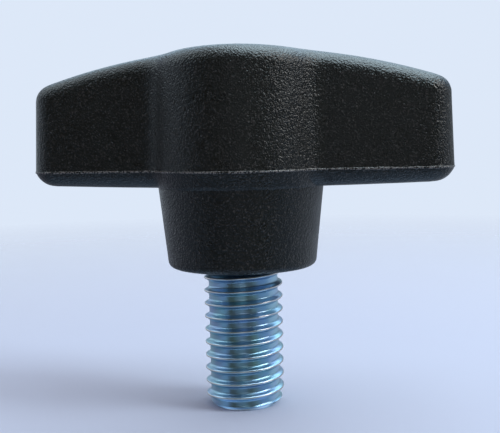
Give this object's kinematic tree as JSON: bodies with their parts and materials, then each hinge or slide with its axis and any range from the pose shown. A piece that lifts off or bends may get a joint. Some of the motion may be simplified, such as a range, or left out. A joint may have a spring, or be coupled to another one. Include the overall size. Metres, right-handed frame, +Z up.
{
  "type": "wing knob",
  "caption": "Hand-tightened knob with opposed moulded wings on a round hub, a tapered boss and a metric threaded steel stud.",
  "frame": {"origin": "middle of the seat, the flat end of the boss that the stud leaves", "axes": "+X along the wings, +Z up the knob's axis from the stud to the crown, -Y to the front"},
  "size_m": [0.0316, 0.0134, 0.0269],
  "materials": {
    "black_plastic": "fine moulded grain",
    "zinc_steel": "bright zinc plate with a blue tint"
  },
  "bodies": {
    "root": {"wing_head": "black_plastic", "threaded_stud": "zinc_steel"}
  },
  "joints": []
}
